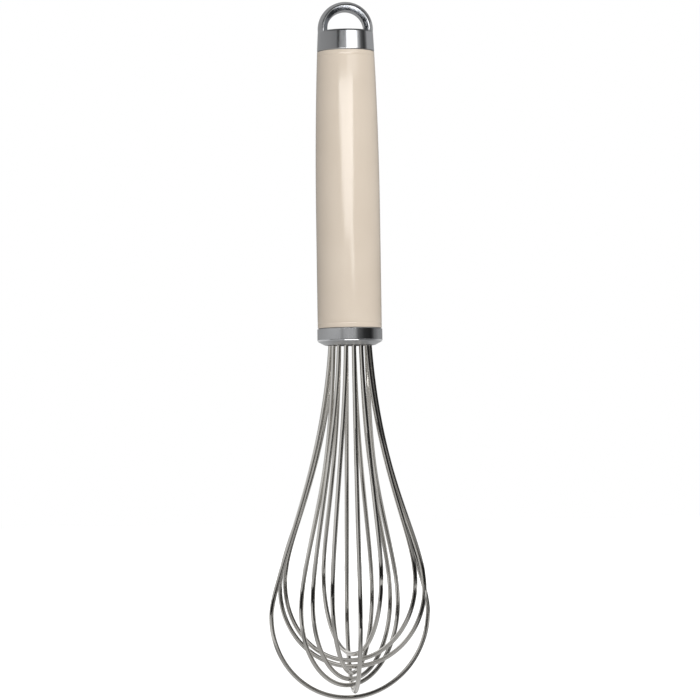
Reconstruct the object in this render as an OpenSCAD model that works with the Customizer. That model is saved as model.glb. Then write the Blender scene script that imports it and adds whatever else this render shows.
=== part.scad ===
// Balloon whisk with eight nested wire loops, a moulded grip and a cast end cap with a hanging loop.
// Millimetres. The whisk hangs along Z, and the origin is where a hook bears: the inner top of the
// hanging loop. The hook runs along Y.

/* [Wires] */
// Diameter of the spring wire
wire_d = 1.7; // [1.2:0.1:1.8]
// Length of the cage, from the mouth of the ferrule to the tip
cage_l = 134.9; // [120:0.1:180]
// Half width of the outermost loop at its widest
wide_loop_r = 31.7; // [28:0.1:36]
// Half width of the other loops at their widest
loop_r = 29.5; // [26:0.1:32]
// Rise of each loop's bottom above the loop that it sits in
nest_step = 2.35; // [2.2:0.05:2.8]
// Radius of the circle that the wires leave the mouth on
socket_circle_r = 7.6; // [7.3:0.1:7.8]
// Angle at which the wires leave the mouth, in degrees
socket_flare = 4.3; // [3:0.1:5]
// Length of each straight wire end inside the handle
tail_l = 22; // [18:0.5:24]
// How far the neck keeps its first direction, as a share of its height
neck_pull = 0.575; // [0.45:0.005:0.6]
// How far the shoulder keeps its upright direction, as a share of the neck's height
shoulder_pull = 0.21; // [0.15:0.005:0.35]
// The share of the neck for the outermost loop
wide_neck_pull = 0.48; // [0.45:0.005:0.6]
// The share of the shoulder for the outermost loop
wide_shoulder_pull = 0.14; // [0.1:0.005:0.35]
// Turn of the whole ring of wires away from the hanging loop, in degrees
ring_turn = -4; // [-11:0.5:11]

/* [Grip] */
// Length of the grip between its end faces
grip_l = 105.8; // [90:0.1:130]
// Radius of the grip over its straight lower part
grip_r = 12.25; // [12:0.05:12.4]
// Length of the straight lower part
grip_straight_l = 43; // [30:1:60]
// Radius of the grip at its upper end
grip_top_r = 10.97; // [10.8:0.01:11.5]
// Radius of the bore that takes the wire holder
grip_bore_r = 9; // [8.8:0.05:9.3]
// Radius of the socket that takes the spigot of the end cap
grip_socket_r = 7.7; // [7.2:0.05:7.9]

/* [Ferrule] */
// Outer radius of the ferrule
ferrule_r = 12.42; // [12.4:0.01:12.8]
// Height of the ferrule
ferrule_h = 6.2; // [5.5:0.1:9]
// Height of the bevel at the mouth
bevel_h = 2; // [1.5:0.1:2.5]
// Outer radius of the mouth, below the bevel
mouth_r = 9.6; // [9.5:0.1:10]
// Thickness of the pressed steel
steel_t = 0.9; // [0.7:0.05:1]

/* [End cap] */
// Height of the cap from its seam to its flat top
cap_h = 7.6; // [6:0.1:12]
// Radius of the cap at its flat top, which is also the outer radius of the hanging loop
cap_top_r = 10.6; // [10.2:0.05:10.9]
// Radius of the hole in the hanging loop, half way through
hang_hole_r = 7.05; // [6:0.05:7.5]
// Radius of the same hole at the faces of the loop, where its edges are rounded off
hang_hole_face_r = 8.43; // [8:0.01:8.6]
// Depth of the hanging loop from face to face
hang_loop_depth = 10.7; // [9:0.1:11]
// Length of the spigot that the cap is glued by
spigot_l = 13; // [8:0.5:20]

/* [Seals] */
// Thickness of the seal at each end of the grip
seal_t = 0.3; // [0.2:0.05:0.5]

/* [Hidden] */

$fn = 96;
cut = 1;

// Heights, from the hanging loop down to the tip
hang_axis_z = -hang_hole_r;
hole_floor_drop = 0.9;
cap_top_z = hang_axis_z - hole_floor_drop;
cap_base_z = cap_top_z - cap_h;
grip_top_z = cap_base_z - seal_t;
grip_base_z = grip_top_z - grip_l;
ferrule_top_z = grip_base_z - seal_t;
mouth_z = ferrule_top_z - ferrule_h;
tip_z = mouth_z - cage_l;

// Cap
cap_base_r = grip_top_r;
cap_rim = 0.4;
spigot_gap = 0.08;
spigot_r = grip_socket_r - spigot_gap;
spigot_wall = 2.4;
spigot_bore_r = spigot_r - spigot_wall;
spigot_floor = 2;
glue_groove_depth = 0.5;
glue_groove_w = 1.5;
glue_groove_count = 3;
glue_groove_pitch = spigot_l / (glue_groove_count + 1);
hole_edge = hang_hole_face_r - hang_hole_r;
hole_edge_steps = 6;

// Grip
barrel_steps = 14;
lip_h = 1.8;
lip_groove_w = 0.5;
lip_groove_depth = 0.12;
grip_edge = 0.4;
tenon_gap = 0.1;
ferrule_bore_r = ferrule_r - steel_t;
tenon_r = ferrule_bore_r - tenon_gap;
socket_spare = 1;
socket_l = spigot_l + socket_spare;
bore_l = 26;

// Ferrule and wire holder
mouth_lip_w = 0.6;
mouth_bore_r = mouth_r - mouth_lip_w;
cone_offset = 0.6;
cone_top_z = mouth_z + bevel_h + cone_offset;
flange_t = 1.4;
flange_top_z = cone_top_z + flange_t;
holder_recess = 0.4;
holder_gap = 0.05;
holder_h = 15;
holder_top_z = mouth_z + holder_h;
resin_cover = 3;
resin_top_z = mouth_z + tail_l + resin_cover;

// Wires: the loops in nesting order, the outermost first. Each leaves two opposite sockets of the
// ring, and its belly is turned and leans a little, as hand-set spring wires do. The turn is done
// within a share of the neck's height. Half way down the neck each of the two strands also bows
// to one side.
loop_count = 8;
socket_count = 2 * loop_count;
socket_pitch = 360 / socket_count;
loop_socket = [0, 4, 1, 2, 3, 7, 6, 5];
loop_turn = [8.7, -6.2, 17.7, 3.8, -3.5, -10, 1, -11.9];
loop_turn_share = [0.5, 0.95, 0.55, 0.45, 0.7, 0.75, 0.85, 1];
loop_lean = [-2.15, -0.3, -2.15, -1, -0.7, -1.4, -3, -1.3];
lean_growth = 1.53;
loop_bow = [
    [-0.55, 0], [-0.1, 0], [-0.4, -0.15], [-0.3, -1.05], [-0.1, -0.5], [0.7, -0.1], [-0.2, 0.5], [0.1, 0.4]
];
wire_r = wire_d / 2;
wire_sides = 10;
neck_steps = 14;
belly_steps = 14;
socket_clearance = 0.02;

function bezier(p, t) =
    pow(1 - t, 3) * p[0] + 3 * pow(1 - t, 2) * t * p[1] + 3 * (1 - t) * t * t * p[2] + pow(t, 3) * p[3];

// A loop's own radius, the height of its widest point, and the azimuth of its first socket
function belly_r(k) = k == 0 ? wide_loop_r : loop_r;
function belly_z(k) = tip_z + wire_r + k * nest_step + belly_r(k);
function socket_azimuth(k) = (loop_socket[k] + 0.5) * socket_pitch;

// Half of a loop as radius and height: straight tail, neck, then a quarter circle down to the axis
function neck_h(k) = mouth_z - belly_z(k);
function neck_handles(k) =
    let (
        first = neck_h(k) * (k == 0 ? wide_neck_pull : neck_pull),
        last = neck_h(k) * (k == 0 ? wide_shoulder_pull : shoulder_pull)
    )
    [
        [socket_circle_r, mouth_z],
        [socket_circle_r, mouth_z] + first * [sin(socket_flare), -cos(socket_flare)],
        [belly_r(k), belly_z(k) + last],
        [belly_r(k), belly_z(k)]
    ];
function half_loop(k) = concat(
    [[socket_circle_r, mouth_z] + tail_l * [-sin(socket_flare), cos(socket_flare)]],
    [for (i = [0:neck_steps]) bezier(neck_handles(k), i / neck_steps)],
    [for (i = [1:belly_steps])
        [0, belly_z(k)] + belly_r(k) * [cos(90 * i / belly_steps), -sin(90 * i / belly_steps)]]
);

// Point of a half loop in space: turned about the axis on the way down, leaning and bowed along X
function in_space(k, side, rz) =
    let (
        drop = max(0, mouth_z - rz[1]),
        turned = sin(90 * min(1, drop / (loop_turn_share[k] * neck_h(k)))),
        azimuth = socket_azimuth(k) + loop_turn[k] * turned,
        lean = loop_lean[k] * pow(drop / cage_l, lean_growth),
        bow = loop_bow[k][side > 0 ? 0 : 1] * pow(sin(180 * min(1, drop / neck_h(k))), 2)
    )
    [side * rz[0] * cos(azimuth) + lean + bow, side * rz[0] * sin(azimuth), rz[1]];
function loop_path(k) =
    let (half = half_loop(k), last = len(half) - 1)
    concat(
        [for (i = [0:last]) in_space(k, 1, half[i])],
        [for (i = [last - 1:-1:0]) in_space(k, -1, half[i])]
    );

function unit(v) = v / norm(v);
function path_direction(path, i) = unit(path[min(i + 1, len(path) - 1)] - path[max(i - 1, 0)]);

// Round bar swept along a path; across is a direction that the path never runs along
module swept_wire(path, across) {
    rings = len(path);
    points = [
        for (i = [0:rings - 1])
            let (
                along = path_direction(path, i),
                side = unit(across - (across * along) * along),
                up = cross(along, side)
            )
            for (j = [0:wire_sides - 1])
                let (a = 360 * (j + 0.5) / wire_sides)
                path[i] + wire_r * (cos(a) * side + sin(a) * up)
    ];
    walls = [
        for (i = [0:rings - 2], j = [0:wire_sides - 1], half = [0, 1])
            let (
                here = i * wire_sides,
                next = here + wire_sides,
                turn = (j + 1) % wire_sides
            )
            half == 0 ? [here + j, next + j, next + turn] : [here + j, next + turn, here + turn]
    ];
    ends = [
        [for (j = [0:wire_sides - 1]) j],
        [for (j = [wire_sides - 1:-1:0]) (rings - 1) * wire_sides + j]
    ];
    polyhedron(points, concat(walls, ends));
}

module wire_loop(k) {
    across = socket_azimuth(k) + loop_turn[k] / 2 + 90;
    color("gainsboro")
    rotate([0, 0, ring_turn])
    swept_wire(loop_path(k), [cos(across), sin(across), 0]);
}

// The straight holes that the wire ends sit in
module sockets() {
    for (i = [0:socket_count - 1])
        rotate([0, 0, ring_turn + (i + 0.5) * socket_pitch])
        translate([socket_circle_r, 0, mouth_z])
        rotate([0, -socket_flare, 0])
        translate([0, 0, -bevel_h])
        cylinder(r = wire_r + socket_clearance, h = bevel_h + tail_l);
}

module wire_holder() {
    color("dimgray")
    difference() {
        rotate_extrude() polygon([
            [0, mouth_z + holder_recess],
            [mouth_bore_r - holder_gap, mouth_z + holder_recess],
            [mouth_bore_r - holder_gap, mouth_z + steel_t],
            [ferrule_bore_r - holder_gap, cone_top_z],
            [ferrule_bore_r - holder_gap, flange_top_z],
            [grip_bore_r - holder_gap, flange_top_z],
            [grip_bore_r - holder_gap, holder_top_z],
            [0, holder_top_z]
        ]);
        sockets();
    }
}

module potting_resin() {
    color("burlywood")
    difference() {
        translate([0, 0, holder_top_z])
        cylinder(r = grip_bore_r, h = resin_top_z - holder_top_z);
        sockets();
    }
}

module ferrule() {
    color("silver")
    rotate_extrude() polygon([
        [mouth_bore_r, mouth_z],
        [mouth_r, mouth_z],
        [ferrule_r, mouth_z + bevel_h],
        [ferrule_r, ferrule_top_z],
        [ferrule_bore_r, ferrule_top_z],
        [ferrule_bore_r, cone_top_z],
        [mouth_bore_r, mouth_z + steel_t]
    ]);
}

module seal_ring(inner_r, outer_r, z) {
    color("darkslategray")
    translate([0, 0, z])
    difference() {
        cylinder(r = outer_r, h = seal_t);
        translate([0, 0, -cut]) cylinder(r = inner_r, h = seal_t + 2 * cut);
    }
}

module ferrule_seal() {
    seal_ring(tenon_r, grip_r - grip_edge, ferrule_top_z);
}

module cap_seal() {
    seal_ring(spigot_r, cap_base_r - grip_edge, grip_top_z);
}

// Radius of the grip at a height above its lower end: straight, then an even barrel curve
function barrel_r(h) =
    grip_r - (grip_r - grip_top_r) * pow(max(0, h - grip_straight_l) / (grip_l - grip_straight_l), 2);
function grip_point(h, inset) = [barrel_r(h) - inset, grip_base_z + h];
function lip_groove(h) = [
    grip_point(h - lip_groove_w / 2, 0),
    grip_point(h, lip_groove_depth),
    grip_point(h + lip_groove_w / 2, 0)
];

module grip() {
    color([0.87, 0.81, 0.73])
    rotate_extrude() polygon(concat(
        [
            [grip_bore_r, flange_top_z],
            [tenon_r, flange_top_z],
            [tenon_r, grip_base_z],
            grip_point(0, grip_edge),
            grip_point(grip_edge, 0)
        ],
        lip_groove(lip_h),
        [
            for (i = [0:barrel_steps])
                grip_point(grip_straight_l + (grip_l - grip_straight_l - 2 * lip_h) * i / barrel_steps, 0)
        ],
        lip_groove(grip_l - lip_h),
        [
            grip_point(grip_l - grip_edge, 0),
            grip_point(grip_l, grip_edge),
            [grip_socket_r, grip_top_z],
            [grip_socket_r, grip_top_z - socket_l],
            [grip_bore_r, grip_base_z + bore_l]
        ]
    ));
}

// Outline of the cap and its spigot, without the hanging loop
module cap_body() {
    spigot_z = cap_base_z - spigot_l;
    rotate_extrude() polygon(concat(
        [
            [spigot_bore_r, spigot_z],
            [spigot_r, spigot_z]
        ],
        [
            for (i = [0:glue_groove_count - 1], step = [0:3])
                let (
                    base = spigot_z + glue_groove_pitch * (i + 1) - glue_groove_w / 2,
                    depth = step == 1 || step == 2 ? glue_groove_depth : 0
                )
                [spigot_r - depth, base + (step < 2 ? 0 : glue_groove_w)]
        ],
        [
            [spigot_r, cap_base_z],
            [cap_base_r - grip_edge, cap_base_z],
            [cap_base_r, cap_base_z + grip_edge],
            [cap_top_r, cap_top_z - cap_rim],
            [cap_top_r - cap_rim, cap_top_z],
            [0, cap_top_z],
            [0, cap_base_z - spigot_floor],
            [spigot_bore_r, cap_base_z - spigot_floor]
        ]
    ));
}

// Domed arch over the cap, as wide as the cap and flat on its two faces
module hang_arch() {
    intersection() {
        translate([0, 0, hang_axis_z]) sphere(r = cap_top_r);
        translate([-cap_top_r - cut, -hang_loop_depth / 2, cap_top_z - 2 * cap_rim])
        cube([2 * (cap_top_r + cut), hang_loop_depth, 2 * cap_top_r]);
    }
}

// One rounded edge of the hole, from its straight part out to the face
function rounded_edge(half_depth) = [
    for (i = [0:hole_edge_steps])
        let (a = 90 * i / hole_edge_steps)
        [hang_hole_face_r - hole_edge * cos(a), half_depth - hole_edge * (1 - sin(a))]
];
function mirrored(outline) = [for (i = [len(outline) - 1:-1:0]) [outline[i][0], -outline[i][1]]];

// The hole through the arch: straight, rounded off at both faces, with a flat floor
module hang_hole() {
    edge = rounded_edge(hang_loop_depth / 2);
    reach = hang_loop_depth / 2 + cut;
    intersection() {
        translate([0, 0, hang_axis_z])
        rotate([90, 0, 0])
        rotate_extrude() polygon(concat(
            [
                [0, -reach],
                [hang_hole_face_r, -reach]
            ],
            mirrored(edge),
            edge,
            [
                [hang_hole_face_r, reach],
                [0, reach]
            ]
        ));
        translate([-cap_top_r, -reach, cap_top_z])
        cube([2 * cap_top_r, 2 * reach, 2 * cap_top_r]);
    }
}

module end_cap() {
    color("silver")
    difference() {
        union() {
            cap_body();
            hang_arch();
        }
        hang_hole();
    }
}

end_cap();
cap_seal();
grip();
ferrule_seal();
ferrule();
wire_holder();
potting_resin();
wire_loop(0);  // wire_loop_1
wire_loop(1);  // wire_loop_2
wire_loop(2);  // wire_loop_3
wire_loop(3);  // wire_loop_4
wire_loop(4);  // wire_loop_5
wire_loop(5);  // wire_loop_6
wire_loop(6);  // wire_loop_7
wire_loop(7);  // wire_loop_8
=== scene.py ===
"""Looks of a balloon whisk: swept wires, turned grip and ferrule, cast end cap, and a small studio.

Metres, in the part's own frame: the origin is the inner top of the hanging loop, Z runs up the handle, and
the hook goes through the loop along Y. The camera looks along +Y, a little turned. Angles are in degrees.
"""

import math

import bmesh
import bpy
import numpy as np
from mathutils import Matrix, Vector


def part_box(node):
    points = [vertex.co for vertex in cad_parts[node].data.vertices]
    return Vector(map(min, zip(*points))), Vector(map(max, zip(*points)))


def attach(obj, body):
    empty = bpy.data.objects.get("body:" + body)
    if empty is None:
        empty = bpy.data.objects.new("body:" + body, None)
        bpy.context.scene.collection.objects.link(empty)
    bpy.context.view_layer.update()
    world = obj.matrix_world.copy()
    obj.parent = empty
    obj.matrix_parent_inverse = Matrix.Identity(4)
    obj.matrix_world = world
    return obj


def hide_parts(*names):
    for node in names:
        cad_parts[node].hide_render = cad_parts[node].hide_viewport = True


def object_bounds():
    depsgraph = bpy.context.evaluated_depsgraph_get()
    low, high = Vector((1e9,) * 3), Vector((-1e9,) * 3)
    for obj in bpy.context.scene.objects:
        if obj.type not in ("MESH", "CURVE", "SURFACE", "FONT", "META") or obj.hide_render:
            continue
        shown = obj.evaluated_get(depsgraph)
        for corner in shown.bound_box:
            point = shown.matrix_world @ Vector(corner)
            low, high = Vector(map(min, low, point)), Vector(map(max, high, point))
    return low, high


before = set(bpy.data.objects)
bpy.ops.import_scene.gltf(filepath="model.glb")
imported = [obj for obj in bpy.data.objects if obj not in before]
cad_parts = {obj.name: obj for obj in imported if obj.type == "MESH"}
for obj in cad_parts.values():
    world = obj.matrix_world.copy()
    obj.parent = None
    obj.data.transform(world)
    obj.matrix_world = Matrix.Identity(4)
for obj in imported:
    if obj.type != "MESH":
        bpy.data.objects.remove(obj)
cad_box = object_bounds()

MM = 0.001

# Camera: the photograph's viewpoint. Lens and sensor are in millimetres
CAMERA_AT = (-0.00004, -1.22145, -0.17551)
CAMERA_TURN = -4
CAMERA_TILT = 2.136
CAMERA_ROLL = -0.868
CAMERA_LENS = 164.57
CAMERA_SENSOR = 36

# Wires: eight nested loops, each from two opposite sockets of the ring
WIRE_R = 0.85 * MM
WIDE_LOOP_R = 31.7 * MM
LOOP_R = 29.5 * MM
NEST_STEP = 2.35 * MM
SOCKET_RING_TURN = -4
SOCKET_CIRCLE_R = 7.6 * MM
SOCKET_PITCH = 22.5
SOCKET_FLARE = 4.3
TAIL_L = 22 * MM
WIRE_SIDES = 24
TAIL_STEPS = 6
NECK_STEPS = 72
BELLY_STEPS = 56

# How far the neck's curve keeps its direction at the socket and at the belly, as shares of its height
NECK_PULL = 0.575
SHOULDER_PULL = 0.21
WIDE_NECK_PULL = 0.48
WIDE_SHOULDER_PULL = 0.14

# For each loop, the widest first: its socket, the turn of its belly, and the share of the neck that turns
LOOP_SOCKET = [0, 4, 1, 2, 3, 7, 6, 5]
LOOP_TURN = [8.7, -6.2, 17.7, 3.8, -3.5, -10, 1, -11.9]
LOOP_TURN_SHARE = [0.5, 0.95, 0.55, 0.45, 0.7, 0.75, 0.85, 1]

# In millimetres for each loop: its lean at the tip, which grows with depth, and the bow of its two sides
LOOP_LEAN = [-2.15, -0.3, -2.15, -1, -0.7, -1.4, -3, -1.3]
LEAN_GROWTH = 1.53
LOOP_BOW = [
    (-0.55, 0), (-0.1, 0), (-0.4, -0.15), (-0.3, -1.05), (-0.1, -0.5), (0.7, -0.1), (-0.2, 0.5), (0.1, 0.4)
]

# Grip
GRIP_R = 12.25 * MM
GRIP_TOP_R = 10.97 * MM
GRIP_STRAIGHT_L = 43 * MM
GRIP_BORE_R = 9 * MM
GRIP_BORE_L = 26 * MM
GRIP_SOCKET_R = 7.7 * MM
GRIP_SOCKET_L = 14 * MM
TENON_R = 11.42 * MM
TENON_L = 2.5 * MM
GRIP_EDGE = 0.15 * MM
LIP_H = 1.8 * MM
LIP_GROOVE_W = 0.5 * MM
LIP_GROOVE_DEPTH = 0.05 * MM
BARREL_STEPS = 60
GROOVE_STEPS = 9
EDGE_STEPS = 7

# Ferrule
FERRULE_R = 12.42 * MM
FERRULE_BORE_R = 11.52 * MM
BEVEL_H = 1.5 * MM
BEVEL_EDGE = 0.8 * MM
MOUTH_R = 9.6 * MM
MOUTH_EDGE = 0.4 * MM
MOUTH_BORE_R = 9 * MM
MOUTH_BORE_EDGE = 0.1 * MM
STEEL_T = 0.9 * MM
CONE_TOP = 2.6 * MM

# End cap
CAP_BASE_R = GRIP_TOP_R
CAP_TOP_R = 10.6 * MM
CAP_TOP_EDGE = 0.7 * MM
SPIGOT_R = 7.62 * MM
SPIGOT_EDGE = 0.3 * MM
SPIGOT_BORE_R = 5.22 * MM
SPIGOT_BORE_EDGE = 0.2 * MM
SPIGOT_FLOOR = 2 * MM
SPIGOT_L = 13 * MM
GLUE_GROOVE_DEPTH = 0.5 * MM
GLUE_GROOVE_W = 1.5 * MM
GLUE_GROOVE_COUNT = 3

# Hanging loop: an arch that runs on below its axis into the cap
HANG_LOOP_HALF = 5.35 * MM
HANG_HOLE_R = 7.05 * MM
HANG_HOLE_EDGE = 0.4 * MM
HANG_HOLE_FACE_R = 8.65 * MM
HANG_HOLE_FACE_EDGE = 0.15 * MM
HOLE_CHAMFER_DEPTH = 2.05 * MM
HOLE_FLOOR_DROP = 0.9 * MM
FACE_EDGE = 0.8 * MM
ARCH_ROOT = 10
ARCH_STEPS = 161
DOME_STEPS = 33

# Metal edges at the two seams of the grip
SEAM_EDGE = 0.12 * MM

# Where a straight part of an outline starts, as a share of the cut that its fillet makes
EVEN_MARGIN = 1.1

# Points of a mesh that lie closer than this are one point
MERGE_DISTANCE = 1e-7

# Heights from the frame
mouth_z, ferrule_top_z = (corner.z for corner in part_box("ferrule"))
grip_base_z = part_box("ferrule_seal")[1].z
grip_top_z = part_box("grip")[1].z
cap_base_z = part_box("cap_seal")[1].z
spigot_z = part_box("end_cap")[0].z
tip_z = cad_box[0][2]
hang_axis_z = -HANG_HOLE_R
cap_top_z = hang_axis_z - HOLE_FLOOR_DROP
grip_l = grip_top_z - grip_base_z
cage_l = mouth_z - tip_z


def unit(v):
    return v / np.linalg.norm(v)


def mesh_object(name, points, faces, smooth_angle=30):
    """Object of a closed mesh, shaded smooth but for edges sharper than smooth_angle."""
    mesh = bpy.data.meshes.new(name)
    mesh.from_pydata([tuple(p) for p in points], [], faces)
    solid = bmesh.new()
    solid.from_mesh(mesh)
    bmesh.ops.remove_doubles(solid, verts=solid.verts, dist=MERGE_DISTANCE)
    bmesh.ops.recalc_face_normals(solid, faces=solid.faces)
    solid.to_mesh(mesh)
    solid.free()
    mesh.shade_smooth()
    mesh.set_sharp_from_angle(angle=math.radians(smooth_angle))
    piece = bpy.data.objects.new(name, mesh)
    bpy.context.scene.collection.objects.link(piece)
    return piece


def rounded(corners, steps=6):
    """Closed outline through (radius, height, fillet) corners, each rounded off by its fillet.

    A point just outside each fillet keeps the straight parts evenly shaded.
    """
    places = [np.array(corner[:2]) for corner in corners]
    outline = []
    for i, (_, _, fillet) in enumerate(corners):
        here = places[i]
        if fillet == 0:
            outline.append(here)
            continue
        back = unit(places[i - 1] - here)
        on = unit(places[(i + 1) % len(places)] - here)
        half_angle = math.acos(np.clip(back @ on, -1, 1)) / 2
        cut_back = fillet / math.tan(half_angle)
        outline.append(here + EVEN_MARGIN * cut_back * back)
        for t in np.linspace(0, 1, steps + 1):
            outline.append(here + cut_back * ((1 - t) ** 2 * back + t**2 * on))
        outline.append(here + EVEN_MARGIN * cut_back * on)
    return outline


def lathe(name, outline, turn=(0, 360), steps=192, place=Matrix.Identity(4)):
    """Object of a closed (radius, height) outline turned about Z, then put in place."""
    full = turn[1] - turn[0] >= 360
    angles = np.radians(np.linspace(*turn, steps, endpoint=not full))
    count = len(outline)
    points = [place @ Vector((r * math.cos(a), r * math.sin(a), h)) for a in angles for r, h in outline]
    faces = []
    for i in range(steps if full else steps - 1):
        here, on = i * count, (i + 1) % steps * count
        faces += [(here + j, here + (j + 1) % count, on + (j + 1) % count, on + j) for j in range(count)]
    if not full:
        faces += [tuple(range(count)), tuple((steps - 1) * count + j for j in reversed(range(count)))]
    return mesh_object(name, points, faces)


def tube(name, path, radius, sides):
    """Object of a round bar with flat ends, along a path that starts upright.

    Each ring is turned from the last one as little as possible.
    """
    path = np.array(path)
    along = np.gradient(path, axis=0)
    along /= np.linalg.norm(along, axis=1)[:, None]
    side = unit(np.cross(along[0], (1, 0, 0)))
    angles = 2 * math.pi * np.arange(sides) / sides
    rings = []
    for point, direction in zip(path, along):
        side = unit(side - (side @ direction) * direction)
        up = np.cross(direction, side)
        rings.append(point + radius * (np.outer(np.cos(angles), side) + np.outer(np.sin(angles), up)))
    faces = []
    for i in range(len(path) - 1):
        here, on = i * sides, (i + 1) * sides
        faces += [(here + j, here + (j + 1) % sides, on + (j + 1) % sides, on + j) for j in range(sides)]
    last = (len(path) - 1) * sides
    faces += [tuple(reversed(range(sides))), tuple(last + j for j in range(sides))]
    return mesh_object(name, np.concatenate(rings), faces, smooth_angle=60)


def loop_path(k):
    """Centre line of wire loop k: straight tail, neck, round belly, and the same again on the other side."""
    wide = k == 0
    belly_r = WIDE_LOOP_R if wide else LOOP_R
    neck_pull = WIDE_NECK_PULL if wide else NECK_PULL
    shoulder_pull = WIDE_SHOULDER_PULL if wide else SHOULDER_PULL
    belly_z = tip_z + WIRE_R + k * NEST_STEP + belly_r
    neck_h = mouth_z - belly_z
    flare_angle = math.radians(SOCKET_FLARE)
    flare = np.array([math.sin(flare_angle), -math.cos(flare_angle)])
    socket = np.array([SOCKET_CIRCLE_R, mouth_z])
    shoulder = np.array([belly_r, belly_z])
    handles = [socket, socket + neck_pull * neck_h * flare, shoulder + (0, shoulder_pull * neck_h), shoulder]
    half = [socket - share * TAIL_L * flare for share in np.linspace(1, 0, TAIL_STEPS, endpoint=False)]
    for t in np.linspace(0, 1, NECK_STEPS):
        weights = ((1 - t) ** 3, 3 * (1 - t) ** 2 * t, 3 * (1 - t) * t**2, t**3)
        half.append(sum(w * h for w, h in zip(weights, handles)))
    for a in np.linspace(0, math.pi / 2, BELLY_STEPS)[1:]:
        half.append(np.array([belly_r * math.cos(a), belly_z - belly_r * math.sin(a)]))
    ring_turn = Matrix.Rotation(math.radians(SOCKET_RING_TURN), 3, "Z")

    def in_space(side, r, z):
        drop = max(0, mouth_z - z)
        turned = math.sin(math.pi / 2 * min(1, drop / (LOOP_TURN_SHARE[k] * neck_h)))
        azimuth = math.radians((LOOP_SOCKET[k] + 0.5) * SOCKET_PITCH + LOOP_TURN[k] * turned)
        lean = LOOP_LEAN[k] * MM * (drop / cage_l) ** LEAN_GROWTH
        bow = LOOP_BOW[k][0 if side > 0 else 1] * MM * math.sin(math.pi * min(1, drop / neck_h)) ** 2
        x = side * r * math.cos(azimuth) + lean + bow
        return ring_turn @ Vector((x, side * r * math.sin(azimuth), z))

    there = [in_space(1, r, z) for r, z in half]
    back = [in_space(-1, r, z) for r, z in half[-2::-1]]
    return there + back


def grip_outline():
    """Outline of the grip: straight part and barrel with two fine lines, the hollow, and the tenon."""

    def barrel(h, inset=0.0):
        share = max(0, h - GRIP_STRAIGHT_L) / (grip_l - GRIP_STRAIGHT_L)
        return (GRIP_R - (GRIP_R - GRIP_TOP_R) * share**2 - inset, grip_base_z + h)

    def lip_groove(h):
        shares = np.linspace(-1, 1, GROOVE_STEPS)
        dip = [(s * LIP_GROOVE_W / 2, LIP_GROOVE_DEPTH * math.cos(s * math.pi / 2) ** 2) for s in shares]
        return [barrel(h + up, inset) for up, inset in dip]

    def edge(h, sign):
        steps = np.linspace(0, math.pi / 2, EDGE_STEPS)
        arc = [(GRIP_EDGE * (1 - math.sin(a)), GRIP_EDGE * (1 - math.cos(a))) for a in steps]
        return [barrel(h + sign * up, inset) for inset, up in arc]

    outside = edge(0, 1)
    outside += lip_groove(LIP_H)
    outside += [barrel(h) for h in np.linspace(2 * LIP_H, grip_l - 2 * LIP_H, BARREL_STEPS)]
    outside += lip_groove(grip_l - LIP_H)
    outside += edge(grip_l, -1)[::-1]
    tenon_z = grip_base_z - TENON_L
    inside_top = [(GRIP_SOCKET_R, grip_top_z), (GRIP_SOCKET_R, grip_top_z - GRIP_SOCKET_L)]
    inside_base = [(GRIP_BORE_R, grip_base_z + GRIP_BORE_L), (GRIP_BORE_R, tenon_z)]
    return outside + inside_top + inside_base + [(TENON_R, tenon_z), (TENON_R, grip_base_z)]


def ferrule_outline():
    """Outline of the ferrule: a pressed shell with a bevelled mouth."""
    return rounded([
        (MOUTH_BORE_R, mouth_z, MOUTH_BORE_EDGE),
        (MOUTH_R, mouth_z, MOUTH_EDGE),
        (FERRULE_R, mouth_z + BEVEL_H, BEVEL_EDGE),
        (FERRULE_R, ferrule_top_z, SEAM_EDGE),
        (FERRULE_BORE_R, ferrule_top_z, 0),
        (FERRULE_BORE_R, mouth_z + CONE_TOP, 0),
        (MOUTH_BORE_R, mouth_z + STEEL_T, 0),
    ])


def cap_outline():
    """Outline of the cap: hollow spigot with glue grooves, and the plain body above the seam."""
    groove_r = SPIGOT_R - GLUE_GROOVE_DEPTH
    grooves = []
    for i in range(GLUE_GROOVE_COUNT):
        low = spigot_z + SPIGOT_L * (i + 1) / (GLUE_GROOVE_COUNT + 1) - GLUE_GROOVE_W / 2
        high = low + GLUE_GROOVE_W
        grooves += [(SPIGOT_R, low, 0), (groove_r, low, 0), (groove_r, high, 0), (SPIGOT_R, high, 0)]
    return rounded([
        (SPIGOT_BORE_R, spigot_z, SPIGOT_BORE_EDGE),
        (SPIGOT_R, spigot_z, SPIGOT_EDGE),
        *grooves,
        (SPIGOT_R, cap_base_z, 0),
        (CAP_BASE_R, cap_base_z, SEAM_EDGE),
        (CAP_TOP_R, cap_top_z, CAP_TOP_EDGE),
        (0, cap_top_z, 0),
        (0, cap_base_z - SPIGOT_FLOOR, 0),
        (SPIGOT_BORE_R, cap_base_z - SPIGOT_FLOOR, 0),
    ])


def arch_outline():
    """Section of the hanging loop: domed outside, and two narrow faces with a chamfer towards the hole."""
    dome_face_r = math.sqrt(CAP_TOP_R**2 - HANG_LOOP_HALF**2)
    dome_half = HANG_LOOP_HALF - FACE_EDGE
    dome = [(math.sqrt(CAP_TOP_R**2 - y**2), y, 0) for y in np.linspace(-dome_half, dome_half, DOME_STEPS)]
    chamfer = [
        (HANG_HOLE_FACE_R, HANG_LOOP_HALF, HANG_HOLE_FACE_EDGE),
        (HANG_HOLE_R, HANG_LOOP_HALF - HOLE_CHAMFER_DEPTH, HANG_HOLE_EDGE),
    ]
    return rounded([
        (dome_face_r, -HANG_LOOP_HALF, FACE_EDGE),
        *dome,
        (dome_face_r, HANG_LOOP_HALF, FACE_EDGE),
        *chamfer,
        *((r, -y, fillet) for r, y, fillet in reversed(chamfer)),
    ])


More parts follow.
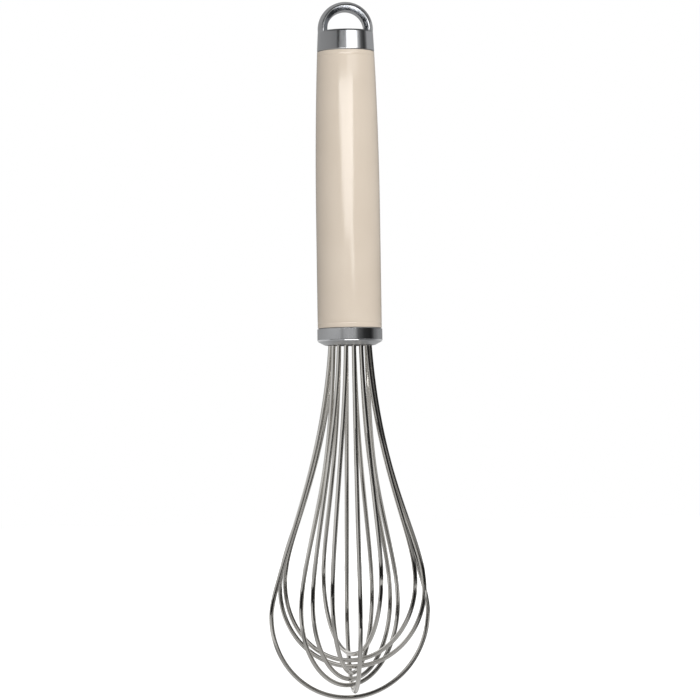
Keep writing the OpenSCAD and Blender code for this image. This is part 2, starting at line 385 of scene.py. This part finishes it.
# Finishes: noise scales per metre and levels of detail, bump heights, and marks drawn out along Z
PLASTIC_TONE_SCALE = 45
PLASTIC_GLOSS_SCALE = 260
PLASTIC_SKIN_HEIGHT = 0.004 * MM
STEEL_TONE_SCALE = 90
STEEL_MARK_SCALE = 900
STEEL_MARK_HEIGHT = 0.0008 * MM
HANDLE_MARKS = (1, 1, 0.05)
WIRE_MARKS = (1, 1, 0.08)
SMOOTH_DETAIL = 3
FINE_DETAIL = 4

# The part of its range that a noise mostly stays in
NOISE_LOW = 0.3
NOISE_HIGH = 0.7

# The ferrule's bevel is satin up to just above its corner, with a soft limit, and its colour there is
# darkened as painted shade
SATIN_AND_SHADE_TOP = 0.1 * MM
SATIN_AND_SHADE_FADE = 0.3 * MM
SATIN_ROUGHNESS = 0.25
# Share of its colour that the bevel keeps: painted shade
PAINTED_SHADE_SCALE = 0.6


def new_material(name):
    """Material with only a Principled shader, returned with its node tree and shader."""
    material = bpy.data.materials.new(name)
    material.use_nodes = True
    return material, material.node_tree, material.node_tree.nodes["Principled BSDF"]


def noise(tree, scale, detail=SMOOTH_DETAIL, stretch=(1, 1, 1)):
    """Noise over the object's own coordinates, in metres."""
    place = tree.nodes.new("ShaderNodeTexCoord")
    mapping = tree.nodes.new("ShaderNodeMapping")
    mapping.inputs["Scale"].default_value = stretch
    texture = tree.nodes.new("ShaderNodeTexNoise")
    texture.inputs["Scale"].default_value = scale
    texture.inputs["Detail"].default_value = detail
    tree.links.new(place.outputs["Object"], mapping.inputs["Vector"])
    tree.links.new(mapping.outputs["Vector"], texture.inputs["Vector"])
    return texture.outputs["Fac"]


def vary(tree, factor, limits, socket):
    """Drives a number of the shader between two limits by a noise factor."""
    ramp = tree.nodes.new("ShaderNodeMapRange")
    ramp.inputs["From Min"].default_value = NOISE_LOW
    ramp.inputs["From Max"].default_value = NOISE_HIGH
    ramp.inputs["To Min"].default_value = limits[0]
    ramp.inputs["To Max"].default_value = limits[1]
    tree.links.new(factor, ramp.inputs["Value"])
    tree.links.new(ramp.outputs["Result"], socket)


def tint(tree, factor, tones, socket):
    """Drives a colour of the shader between two tones by a noise factor."""
    ramp = tree.nodes.new("ShaderNodeValToRGB")
    for stop, position, tone in zip(ramp.color_ramp.elements, (NOISE_LOW, NOISE_HIGH), tones):
        stop.position = position
        stop.color = (*tone, 1)
    tree.links.new(factor, ramp.inputs["Fac"])
    tree.links.new(ramp.outputs["Color"], socket)


def bump(tree, factor, height, shader):
    """Raises the surface by a noise factor, up to a height in metres."""
    node = tree.nodes.new("ShaderNodeBump")
    node.inputs["Strength"].default_value = 1
    node.inputs["Distance"].default_value = height
    tree.links.new(factor, node.inputs["Height"])
    tree.links.new(node.outputs["Normal"], shader.inputs["Normal"])


def plastic(name, tones, roughness, grain):
    """Moulded plastic: slight tone drift, and a fine skin that breaks up the gloss."""
    material, tree, shader = new_material(name)
    tint(tree, noise(tree, PLASTIC_TONE_SCALE), tones, shader.inputs["Base Color"])
    vary(tree, noise(tree, PLASTIC_GLOSS_SCALE), roughness, shader.inputs["Roughness"])
    bump(tree, noise(tree, grain, FINE_DETAIL), PLASTIC_SKIN_HEIGHT, shader)
    return material


def steel(name, tones, roughness, stretch):
    """Bright steel with faint polishing marks along one direction."""
    material, tree, shader = new_material(name)
    shader.inputs["Metallic"].default_value = 1
    tint(tree, noise(tree, STEEL_TONE_SCALE), tones, shader.inputs["Base Color"])
    marks = noise(tree, STEEL_MARK_SCALE, FINE_DETAIL, stretch)
    vary(tree, marks, roughness, shader.inputs["Roughness"])
    bump(tree, marks, STEEL_MARK_HEIGHT, shader)
    return material


def satin_and_painted_shade_below(material, height):
    """Makes a steel rougher below a height of the part, and darkens its colour there as painted shade."""
    tree = material.node_tree
    shader = tree.nodes["Principled BSDF"]
    place = tree.nodes.new("ShaderNodeTexCoord")
    axes = tree.nodes.new("ShaderNodeSeparateXYZ")
    tree.links.new(place.outputs["Object"], axes.inputs["Vector"])

    def by_height(below, above):
        fade = tree.nodes.new("ShaderNodeMapRange")
        fade.inputs["From Min"].default_value = height - SATIN_AND_SHADE_FADE
        fade.inputs["From Max"].default_value = height
        fade.inputs["To Min"].default_value = below
        fade.inputs["To Max"].default_value = above
        tree.links.new(axes.outputs["Z"], fade.inputs["Value"])
        return fade.outputs["Result"]

    rougher = tree.nodes.new("ShaderNodeMath")
    rougher.operation = "ADD"
    tree.links.new(by_height(SATIN_ROUGHNESS, 0), rougher.inputs[0])
    tree.links.new(shader.inputs["Roughness"].links[0].from_socket, rougher.inputs[1])
    tree.links.new(rougher.outputs["Value"], shader.inputs["Roughness"])
    # Painted shade: the base colour is scaled down below the height
    painted_shade = tree.nodes.new("ShaderNodeVectorMath")
    painted_shade.operation = "SCALE"
    tree.links.new(shader.inputs["Base Color"].links[0].from_socket, painted_shade.inputs["Vector"])
    tree.links.new(by_height(PAINTED_SHADE_SCALE, 1), painted_shade.inputs["Scale"])
    tree.links.new(painted_shade.outputs["Vector"], shader.inputs["Base Color"])


grip_plastic = plastic(
    "grip_plastic",
    tones=((0.67, 0.578, 0.477), (0.70, 0.608, 0.507)),
    roughness=(0.09, 0.13),
    grain=1400,
)
seal_rubber = plastic(
    "seal_rubber",
    tones=((0.20, 0.20, 0.20), (0.25, 0.25, 0.245)),
    roughness=(0.4, 0.55),
    grain=2500,
)
holder_plastic = plastic(
    "holder_plastic",
    tones=((0.055, 0.055, 0.058), (0.075, 0.075, 0.078)),
    roughness=(0.45, 0.6),
    grain=2000,
)
resin = plastic(
    "resin",
    tones=((0.55, 0.4, 0.22), (0.62, 0.47, 0.28)),
    roughness=(0.2, 0.35),
    grain=700,
)
polished_steel = steel(
    "polished_steel",
    tones=((0.79, 0.80, 0.82), (0.83, 0.84, 0.855)),
    roughness=(0.10, 0.15),
    stretch=HANDLE_MARKS,
)
ferrule_steel = steel(
    "ferrule_steel",
    tones=((0.79, 0.80, 0.815), (0.83, 0.84, 0.85)),
    roughness=(0.10, 0.15),
    stretch=HANDLE_MARKS,
)
# The bevel gets satin roughness, and its colour is darkened as painted shade
satin_and_painted_shade_below(ferrule_steel, mouth_z + BEVEL_H + SATIN_AND_SHADE_TOP)
wire_steel = steel(
    "wire_steel",
    tones=((0.73, 0.71, 0.67), (0.79, 0.77, 0.73)),
    roughness=(0.07, 0.11),
    stretch=WIRE_MARKS,
)


def dress(piece, material, slot, *nodes):
    """Gives a new piece its finish, and lets it stand for its CAD nodes."""
    piece.data.materials.append(material)
    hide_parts(*nodes)
    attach(piece, "root")


dress(lathe("grip_skin", grip_outline()), grip_plastic, "grip_plastic", "grip")
dress(lathe("ferrule_shell", ferrule_outline()), ferrule_steel, "polished_steel", "ferrule")

cap = lathe("cap_casting", cap_outline())
arch_place = Matrix.Translation((0, 0, hang_axis_z)) @ Matrix.Rotation(math.radians(90), 4, "X")
arch = lathe("hanging_arch", arch_outline(), (-ARCH_ROOT, 180 + ARCH_ROOT), ARCH_STEPS, arch_place)
dress(cap, polished_steel, "polished_steel", "end_cap")
dress(arch, polished_steel, "polished_steel", "end_cap")

for k in range(len(LOOP_SOCKET)):
    wire = tube(f"wire_{k + 1}", loop_path(k), WIRE_R, WIRE_SIDES)
    dress(wire, wire_steel, "wire_steel", f"wire_loop_{k + 1}")

for node, material in {
    "cap_seal": seal_rubber,
    "ferrule_seal": seal_rubber,
    "wire_holder": holder_plastic,
    "potting_resin": resin,
}.items():
    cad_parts[node].data.materials.clear()
    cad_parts[node].data.materials.append(material)

# Studio: a white floor and world, three softboxes, and sheets that only reflections see.
# Azimuths go from the camera's side, positive to the right, and heights are above the floor
SOFTBOX_DISTANCE = 1.6
SOFTBOX_STEPS = 17

# Softboxes: left and right azimuth, lowest and highest height, and colour
SOFTBOXES = {
    "front_light": (-20, 27, 0.27, 0.5, (6.8, 6.8, 6.7)),
    "key_light": (3, 45, 0.5, 1.1, (5.2, 5.2, 5.2)),
    "back_light": (163, 197, 0.3, 0.8, (5.2, 5.2, 5.2)),
}

# Stops give a sheet's brightness by azimuth, and its rows set them at heights or distances
AZIMUTH_STEP = 2
GLARE_EDGE = 2


def with_glare(stops, left, right, level):
    """Stops with a bright stretch between two azimuths, with narrow soft edges."""
    edges = (left - GLARE_EDGE, right + GLARE_EDGE)
    dark = [(edge, np.interp(edge, *zip(*stops))) for edge in edges]
    glare = [dark[0], (left, level), (right, level), dark[1]]
    return [s for s in stops if s[0] < edges[0]] + glare + [s for s in stops if s[0] > edges[1]]


# Surround: the walls of the room and a plain ceiling
SURROUND_DISTANCE = 1.5
CEILING_HEIGHT = 2.0
GROUND_STOPS = [
    (-180, 0.75), (-125, 0.7), (-100, 0.4), (-60, 0.38), (-20, 0.4), (18, 0.4), (29, 0.13), (52, 0.03),
    (80, 0.02), (105, 0.2), (130, 0.6), (180, 0.75),
]
LOW_STOPS = [
    (-180, 0.28), (-120, 0.32), (-60, 0.38), (-36, 0.36), (-27, 0.22), (-20, 0.34), (-12, 0.42), (-4, 0.5),
    (16, 0.5), (29, 0.13), (52, 0.03), (80, 0.015), (88, 0.05), (98, 0.16), (120, 0.27), (180, 0.28),
]
BAND_STOPS = [
    (-180, 0.3), (-150, 0.3), (-110, 0.4), (-80, 0.65), (-50, 0.72), (-20, 0.58), (-5, 0.35), (8, 0.06),
    (60, 0.01), (110, 0.03), (150, 0.2), (180, 0.4),
]
HIGH_STOPS = [
    (-180, 0.9), (-130, 0.95), (-105, 0.8), (-80, 0.48), (-45, 0.43), (-5, 0.4), (12, 0.3), (30, 0.25),
    (110, 0.2), (130, 0.35), (150, 0.8), (180, 0.9),
]
UPPER_STOPS = [
    (-180, 0.9), (-130, 0.95), (-105, 0.85), (-80, 0.6), (-45, 0.5), (-5, 0.45), (12, 0.25), (30, 0.14),
    (110, 0.15), (130, 0.4), (150, 0.8), (180, 0.9),
]
TOP_STOPS = [(-180, 0.85), (180, 0.85)]
SURROUND_ROWS = [
    (-0.07, GROUND_STOPS),
    (0.13, GROUND_STOPS),
    (0.17, LOW_STOPS),
    (0.225, LOW_STOPS),
    (0.26, BAND_STOPS),
    (0.42, BAND_STOPS),
    (0.5, HIGH_STOPS),
    (0.62, HIGH_STOPS),
    (0.85, UPPER_STOPS),
    (1.2, UPPER_STOPS),
    (1.35, TOP_STOPS),
    (2.2, TOP_STOPS),
]

# Handle ring: a near sheet round the handle, with a skirt below it and a canopy above it
RING_DISTANCE = 0.2
SKIRT_INNER = 0.035
SKIRT_STOPS = [
    (-180, 0.2), (-125, 0.25), (-105, 0.35), (-80, 0.6), (-50, 0.7), (-20, 0.58), (-5, 0.35), (8, 0.06),
    (52, 0.01), (120, 0.02), (150, 0.15), (180, 0.28),
]
GRIP_STOPS = [
    (-180, 0.28), (-120, 0.3), (-60, 0.25), (-30, 0.22), (30, 0.13), (52, 0.03), (68, 0.015), (84, 0.06),
    (96, 0.3), (120, 0.3), (180, 0.28),
]
CAP_STOPS = [
    (-180, 0.33), (-120, 0.27), (-60, 0.23), (-36, 0.19), (-32, 0.05), (-26, 0.05), (-21, 0.22), (-2, 0.28),
    (3, 0.45), (8, 2.0), (40, 2.0), (52, 0.45), (65, 0.1), (80, 0.03), (90, 0.12), (98, 0.35), (180, 0.33),
]
CANOPY_STOPS = [
    (-180, 0.3), (-120, 0.3), (-80, 0.12), (-50, 0.05), (60, 0.05), (110, 0.1), (150, 0.2), (180, 0.3),
]
RING_ROWS = [
    (0.154, SKIRT_STOPS),
    (0.170, with_glare(SKIRT_STOPS, 15, 19, 1.8)),
    (0.177, with_glare(SKIRT_STOPS, 10, 18, 3.0)),
    (0.187, with_glare(GRIP_STOPS, 7, 18, 3.0)),
    (0.193, with_glare(GRIP_STOPS, -12, 15, 4.2)),
    (0.229, with_glare(GRIP_STOPS, -19, 20, 5.6)),
    (0.264, with_glare(GRIP_STOPS, -26, 24, 5.6)),
    (0.271, with_glare(GRIP_STOPS, -26, 24, 5.6)),
    (0.274, CAP_STOPS),
    (0.312, CAP_STOPS),
    (0.32, CANOPY_STOPS),
    (0.36, CANOPY_STOPS),
]

# Floor card: what the metal sees below it, in rows by distance
CARD_HEIGHT = -0.07
BASE_STOPS = [(-180, 0.6), (-110, 0.45), (0, 0.4), (110, 0.45), (180, 0.6)]
NEAR_STOPS = [
    (-180, 0.6), (-130, 0.5), (-110, 0.2), (-60, 0.25), (-10, 0.33), (10, 0.25), (25, 0.06), (110, 0.1),
    (130, 0.4), (180, 0.6),
]
FLOOR_STOPS = [
    (-180, 0.7), (-120, 0.65), (0, 0.65), (10, 0.35), (25, 0.06), (100, 0.05), (125, 0.5), (180, 0.7),
]
FAR_STOPS = [(-180, 0.7), (-120, 0.6), (-60, 0.5), (20, 0.5), (50, 0.6), (100, 0.5), (180, 0.7)]
FLOOR_ROWS = [
    (0, BASE_STOPS),
    (0.12, BASE_STOPS),
    (0.16, NEAR_STOPS),
    (0.21, NEAR_STOPS),
    (0.28, FLOOR_STOPS),
    (0.5, FLOOR_STOPS),
    (0.7, FAR_STOPS),
    (SURROUND_DISTANCE, FAR_STOPS),
]

# Dark flags, and a small bright card with a dim back: azimuths, two (distance, height) edges, brightness
FLAG_STEPS = 61
FLAGS = {
    "left_flag": (-75, -12, (0.4, 0.035), (0.4, 0.136), 0.012),
    "middle_flag": (-12, 14, (0.4, 0.02), (0.4, 0.136), 0.012),
    "right_flag": (14, 45, (0.4, 0.05), (0.4, 0.136), 0.012),
    "near_flag": (-20, 45, (0.06, 0.018), (0.06, 0.0385), 0.012),
    "glint_card": (-18, 30, (0.03, 0.11), (0.055, 0.11), 4.0),
    "glint_back": (-19, 31, (0.0299, 0.11), (0.055, 0.1098), 0.05),
}

# Floor and world
FLOOR_HALF = 4.0
FLOOR_COLOR = (0.62, 0.62, 0.62)
FLOOR_ROUGHNESS = 0.9
FLOOR_GLOW = 0.65
AMBIENT = 0.6


def emission(name, color):
    """Material that only glows, in one colour or, where color is None, in the mesh's own "glow" colours."""
    material = bpy.data.materials.new(name)
    material.use_nodes = True
    tree = material.node_tree
    tree.nodes.clear()
    shader = tree.nodes.new("ShaderNodeEmission")
    if color:
        shader.inputs["Color"].default_value = (*color, 1)
    else:
        levels = tree.nodes.new("ShaderNodeAttribute")
        levels.attribute_name = "glow"
        tree.links.new(levels.outputs["Color"], shader.inputs["Color"])
    output = tree.nodes.new("ShaderNodeOutputMaterial")
    tree.links.new(shader.outputs["Emission"], output.inputs["Surface"])
    return material


def stage_mesh(name, points, faces, material):
    """Object of the studio, which is no piece of the whisk."""
    mesh = bpy.data.meshes.new(name)
    mesh.from_pydata(points, [], faces)
    mesh.materials.append(material)
    piece = bpy.data.objects.new(name, mesh)
    bpy.context.scene.collection.objects.link(piece)
    return piece


def round_sheet(name, azimuths, rings, material):
    """Sheet round the whisk through rings of (distance, height)."""
    points = [
        (r * math.sin(a), -r * math.cos(a), tip_z + h)
        for r, h in rings
        for a in np.radians(azimuths + CAMERA_TURN)
    ]
    count = len(azimuths)
    faces = [
        (i * count + j, i * count + j + 1, (i + 1) * count + j + 1, (i + 1) * count + j)
        for i in range(len(rings) - 1)
        for j in range(count - 1)
    ]
    return stage_mesh(name, points, faces, material)


def only_reflected(piece):
    """Hides a piece from all but reflections."""
    piece.visible_camera = False
    piece.visible_diffuse = False
    piece.visible_shadow = False


def reflected_sheet(name, rows):
    """Sheet all round that only reflections see. Each row: distance, height and brightness stops."""
    azimuths = np.arange(-180, 180 + AZIMUTH_STEP, AZIMUTH_STEP)
    piece = round_sheet(name, azimuths, [row[:2] for row in rows], emission(name, None))
    glow = piece.data.attributes.new("glow", "FLOAT_COLOR", "POINT")
    levels = np.concatenate([np.interp(azimuths, *zip(*stops)) for _, _, stops in rows])
    glow.data.foreach_set("color", np.stack([levels, levels, levels, np.ones_like(levels)], axis=1).ravel())
    only_reflected(piece)


for name, (left, right, low, high, color) in SOFTBOXES.items():
    azimuths = np.linspace(left, right, SOFTBOX_STEPS)
    rings = [(SOFTBOX_DISTANCE, low), (SOFTBOX_DISTANCE, high)]
    softbox = round_sheet(name, azimuths, rings, emission(name, color))
    softbox.visible_camera = False
    softbox.visible_glossy = False

skirt_height = RING_ROWS[0][0]
canopy_height = RING_ROWS[-1][0]
reflected_sheet("surround", [(SURROUND_DISTANCE, h, stops) for h, stops in SURROUND_ROWS])
reflected_sheet("handle_ring", [(RING_DISTANCE, h, stops) for h, stops in RING_ROWS])
reflected_sheet("skirt", [(r, skirt_height, SKIRT_STOPS) for r in (SKIRT_INNER, RING_DISTANCE)])
reflected_sheet("canopy", [(r, canopy_height, CANOPY_STOPS) for r in (0, RING_DISTANCE)])
reflected_sheet("ceiling", [(r, CEILING_HEIGHT, TOP_STOPS) for r in (0, SURROUND_DISTANCE)])
reflected_sheet("floor_card", [(r, CARD_HEIGHT, stops) for r, stops in FLOOR_ROWS])
for name, (left, right, first, second, level) in FLAGS.items():
    flag_material = emission(name, (level, level, level))
    only_reflected(round_sheet(name, np.linspace(left, right, FLAG_STEPS), [first, second], flag_material))


def seen_directly(tree):
    """1 for rays from the camera, a mirror or glass, and 0 for the light that falls on surfaces."""
    path = tree.nodes.new("ShaderNodeLightPath")
    total = path.outputs["Is Camera Ray"]
    for kind in ("Is Glossy Ray", "Is Transmission Ray"):
        largest = tree.nodes.new("ShaderNodeMath")
        largest.operation = "MAXIMUM"
        tree.links.new(total, largest.inputs[0])
        tree.links.new(path.outputs[kind], largest.inputs[1])
        total = largest.outputs["Value"]
    return total


def lay_floor():
    """White floor under the whisk, which glows where it is seen and so has no visible edge."""
    material, tree, shader = new_material("floor_paint")
    shader.inputs["Base Color"].default_value = (*FLOOR_COLOR, 1)
    shader.inputs["Roughness"].default_value = FLOOR_ROUGHNESS
    shader.inputs["Specular IOR Level"].default_value = 0
    shader.inputs["Emission Color"].default_value = (1, 1, 1, 1)
    glow = tree.nodes.new("ShaderNodeMath")
    glow.operation = "MULTIPLY"
    glow.inputs[1].default_value = FLOOR_GLOW
    tree.links.new(seen_directly(tree), glow.inputs[0])
    tree.links.new(glow.outputs["Value"], shader.inputs["Emission Strength"])
    corners = [(x * FLOOR_HALF, y * FLOOR_HALF, tip_z) for x, y in ((-1, -1), (1, -1), (1, 1), (-1, 1))]
    stage_mesh("floor", corners, [(0, 1, 2, 3)], material).visible_glossy = False


def light_world():
    """World that is white where it is seen, and dimmer as a light."""
    world = bpy.data.worlds.new("studio")
    world.use_nodes = True
    bpy.context.scene.world = world
    tree = world.node_tree
    sky = tree.nodes["Background"]
    sky.inputs["Color"].default_value = (1, 1, 1, 1)
    strength = tree.nodes.new("ShaderNodeMapRange")
    strength.inputs["To Min"].default_value = AMBIENT
    strength.inputs["To Max"].default_value = 1
    tree.links.new(seen_directly(tree), strength.inputs["Value"])
    tree.links.new(strength.outputs["Result"], sky.inputs["Strength"])


def set_camera():
    """Camera at the photograph's viewpoint, with plain colours."""
    camera_data = bpy.data.cameras.new("camera")
    camera_data.sensor_width = CAMERA_SENSOR
    camera_data.lens = CAMERA_LENS
    camera = bpy.data.objects.new("camera", camera_data)
    camera.matrix_world = (
        Matrix.Rotation(math.radians(CAMERA_TURN), 4, "Z")
        @ Matrix.Translation(CAMERA_AT)
        @ Matrix.Rotation(math.radians(90 + CAMERA_TILT), 4, "X")
        @ Matrix.Rotation(math.radians(CAMERA_ROLL), 4, "Z")
    )
    bpy.context.scene.collection.objects.link(camera)
    bpy.context.scene.camera = camera
    bpy.context.scene.view_settings.view_transform = "Standard"


lay_floor()
light_world()
set_camera()
